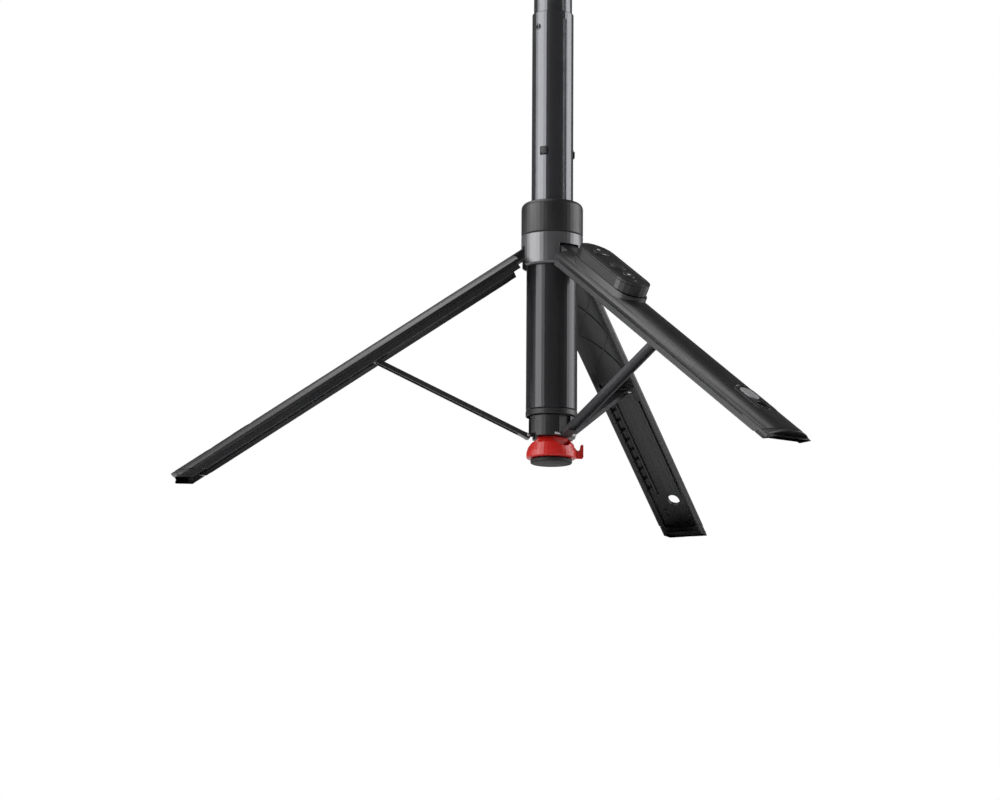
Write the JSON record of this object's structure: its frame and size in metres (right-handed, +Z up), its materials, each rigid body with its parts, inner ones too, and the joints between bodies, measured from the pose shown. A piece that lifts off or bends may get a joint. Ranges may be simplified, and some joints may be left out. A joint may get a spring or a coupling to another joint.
{
  "type": "selfie stick tripod",
  "caption": "Telescopic selfie stick whose grip unfolds into a strutted tripod, with a red base cap, a docked remote control and a sprung phone holder.",
  "frame": {"origin": "centre of the base pad's underside, on the mast's axis", "axes": "+Z up along the mast, -Y along the front leg, which carries the remote control"},
  "size_m": [0.4004, 0.3512, 0.5278],
  "materials": {
    "tube": "satin gunmetal anodised tube",
    "column": "satin black tube",
    "hub": "dark metallic grey paint",
    "collar": "matt black plastic",
    "shell": "fine textured black plastic",
    "liner": "dark grey moulded plastic",
    "rubber": "black rubber",
    "steel": "bright pins and rods",
    "strut": "dark grey stamped metal",
    "red": "satin red plastic",
    "insert": "pale grey insert",
    "remote": "black plastic",
    "button": "grey plastic keys",
    "board": "green circuit board"
  },
  "bodies": {
    "root": {"hub": "hub", "collar": "collar", "column_tube": "column", "column_end_ring": "collar", "hinge_pin_front": "steel", "hinge_pin_right": "steel", "hinge_pin_left": "steel"},
    "front_leg": {"leg_shell_front": "shell", "leg_liner_front": "liner", "leg_foot_front": "rubber", "leg_window_front": "insert", "strut_pin_front": "steel"},
    "front_strut": {"strut_front": "strut", "strut_axle_front": "steel"},
    "right_leg": {"leg_shell_right": "shell", "leg_liner_right": "liner", "leg_foot_right": "rubber", "leg_window_right": "insert", "strut_pin_right": "steel"},
    "right_strut": {"strut_right": "strut", "strut_axle_right": "steel"},
    "left_leg": {"leg_shell_left": "shell", "leg_liner_left": "liner", "leg_foot_left": "rubber", "leg_window_left": "insert", "strut_pin_left": "steel"},
    "left_strut": {"strut_left": "strut", "strut_axle_left": "steel"},
    "slider": {"slider_block": "collar", "base_cap": "red", "base_pad": "rubber", "cap_screw": "steel", "mast_tube_1": "tube"},
    "detent_1": {"detent_pin_1": "collar"},
    "detent_2": {"detent_pin_2": "collar"},
    "section_2": {"mast_tube_2": "tube"},
    "section_3": {"mast_tube_3": "tube"},
    "section_4": {"mast_tube_4": "tube"},
    "section_5": {"mast_tube_5": "tube"},
    "section_6": {"mast_tube_6": "tube", "head_base": "collar"},
    "pan_head": {"pan_yoke": "collar", "tilt_knob": "collar"},
    "holder": {"holder_body": "shell", "jaw_lower": "shell", "pad_lower": "rubber", "jaw_spring": "steel"},
    "jaw": {"jaw_upper": "shell", "pad_upper": "rubber", "guide_rod_1": "steel", "guide_rod_2": "steel"},
    "remote": {"remote_case": "remote", "remote_face": "remote", "circuit_board": "board", "coin_cell": "steel"},
    "rocker_key": {"rocker_button": "button"},
    "shutter_key": {"shutter_button": "button"},
    "mode_key": {"mode_button": "button"}
  },
  "joints": [
    {"name": "front_leg_fold", "type": "hinge", "parent": "root", "child": "front_leg", "pos_m": [0, -0.0152, 0.1257], "axis": [1, 0, 0], "range_deg": [0, 55.7]},
    {"name": "front_strut_fold", "type": "hinge", "parent": "front_leg", "child": "front_strut", "pos_m": [0, -0.1097, 0.0619], "axis": [1, 0, 0], "range_deg": [-119.7, 0]},
    {"name": "right_leg_fold", "type": "hinge", "parent": "root", "child": "right_leg", "pos_m": [0.01316, 0.0076, 0.1257], "axis": [-0.5, 0.866, 0], "range_deg": [0, 55.7]},
    {"name": "right_strut_fold", "type": "hinge", "parent": "right_leg", "child": "right_strut", "pos_m": [0.095, 0.05485, 0.0619], "axis": [-0.5, 0.866, 0], "range_deg": [-119.7, 0]},
    {"name": "left_leg_fold", "type": "hinge", "parent": "root", "child": "left_leg", "pos_m": [-0.01316, 0.0076, 0.1257], "axis": [-0.5, -0.866, 0], "range_deg": [0, 55.7]},
    {"name": "left_strut_fold", "type": "hinge", "parent": "left_leg", "child": "left_strut", "pos_m": [-0.095, 0.05485, 0.0619], "axis": [-0.5, -0.866, 0], "range_deg": [-119.7, 0]},
    {"name": "slider_fold", "type": "hinge", "parent": "front_strut", "child": "slider", "pos_m": [0, -0.0142, 0.0161], "axis": [1, 0, 0], "range_deg": [0, 64]},
    {"name": "detent_1_press", "type": "slide", "parent": "slider", "child": "detent_1", "axis": [0.866, 0.5, 0], "range_m": [0, 0.0005], "stiffness_N_per_m": 600},
    {"name": "detent_2_press", "type": "slide", "parent": "slider", "child": "detent_2", "axis": [-0.866, 0.5, 0], "range_m": [0, 0.0005], "stiffness_N_per_m": 600},
    {"name": "section_2_slide", "type": "slide", "parent": "slider", "child": "section_2", "axis": [0, 0, 1], "range_m": [-0.105, 0.09]},
    {"name": "section_3_slide", "type": "slide", "parent": "section_2", "child": "section_3", "axis": [0, 0, 1], "range_m": [0, 0.195]},
    {"name": "section_4_slide", "type": "slide", "parent": "section_3", "child": "section_4", "axis": [0, 0, 1], "range_m": [0, 0.195]},
    {"name": "section_5_slide", "type": "slide", "parent": "section_4", "child": "section_5", "axis": [0, 0, 1], "range_m": [0, 0.195]},
    {"name": "section_6_slide", "type": "slide", "parent": "section_5", "child": "section_6", "axis": [0, 0, 1], "range_m": [0, 0.195]},
    {"name": "head_pan", "type": "hinge", "parent": "section_6", "child": "pan_head", "pos_m": [0, 0, 0.4157], "axis": [0, 0, 1], "range_deg": [-180, 180]},
    {"name": "head_tilt", "type": "hinge", "parent": "pan_head", "child": "holder", "pos_m": [0, 0, 0.4415], "axis": [1, 0, 0], "range_deg": [-90, 75]},
    {"name": "jaw_slide", "type": "slide", "parent": "holder", "child": "jaw", "axis": [0, 0, 1], "range_m": [0, 0.035], "stiffness_N_per_m": 120, "springref_m": -0.02, "deforming": ["jaw_spring"]},
    {"name": "remote_lift", "type": "slide", "parent": "front_leg", "child": "remote", "axis": [0, -0.5635, 0.8261], "range_m": [0, 0.012]},
    {"name": "rocker_tilt", "type": "hinge", "parent": "remote", "child": "rocker_key", "pos_m": [0, -0.04832, 0.11836], "axis": [0, -0.8261, -0.5635], "range_deg": [-3, 3], "stiffness_Nm_per_rad": 0.02},
    {"name": "shutter_press", "type": "slide", "parent": "remote", "child": "shutter_key", "axis": [0, 0.5635, -0.8261], "range_m": [0, 0.0003], "stiffness_N_per_m": 900},
    {"name": "mode_press", "type": "slide", "parent": "remote", "child": "mode_key", "axis": [0, 0.5635, -0.8261], "range_m": [0, 0.0003], "stiffness_N_per_m": 900}
  ],
  "couplings": [
    {"joint": "front_strut_fold", "follows": "front_leg_fold", "ratio": -2.1488},
    {"joint": "right_leg_fold", "follows": "front_leg_fold", "ratio": 1},
    {"joint": "right_strut_fold", "follows": "front_leg_fold", "ratio": -2.1488},
    {"joint": "left_leg_fold", "follows": "front_leg_fold", "ratio": 1},
    {"joint": "left_strut_fold", "follows": "front_leg_fold", "ratio": -2.1488},
    {"joint": "slider_fold", "follows": "front_leg_fold", "ratio": 1.1488}
  ]
}
